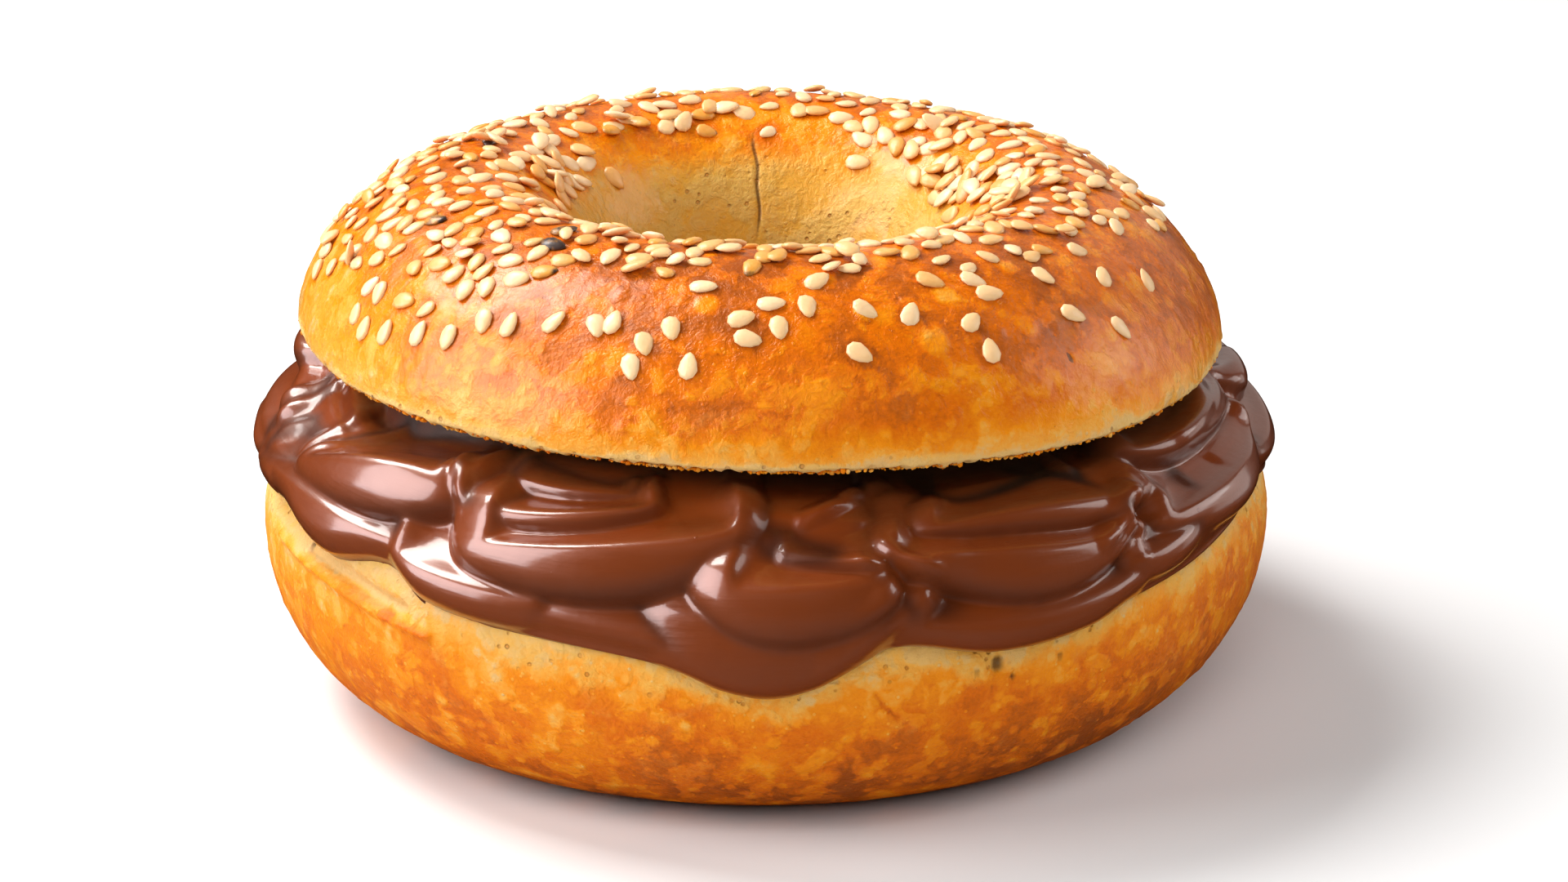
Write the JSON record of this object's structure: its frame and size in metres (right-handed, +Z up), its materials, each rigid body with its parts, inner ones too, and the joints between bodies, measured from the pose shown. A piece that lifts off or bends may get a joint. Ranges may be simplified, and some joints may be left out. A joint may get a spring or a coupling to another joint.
{
  "type": "bagel",
  "caption": "Round sesame bagel sliced across into two halves, with a thick swirled layer of chocolate spread between them and an open hole through the middle.",
  "frame": {"origin": "on the surface that the bagel rests on, in the middle of its footprint, under the hole", "axes": "+Z up through the hole, -Y towards the front, where the spread runs down lowest, +X to the right of someone looking at the front"},
  "size_m": [0.1104, 0.113, 0.058],
  "materials": {
    "bread_crust": "matt golden crust with a pale crumb band by the cut",
    "glazed_crust": "egg-washed crust, softly glossy, with cream sesame seeds",
    "chocolate_spread": "smooth and glossy"
  },
  "bodies": {
    "root": {"bottom_half": "bread_crust", "chocolate_filling": "chocolate_spread", "top_half": "glazed_crust"}
  },
  "joints": []
}
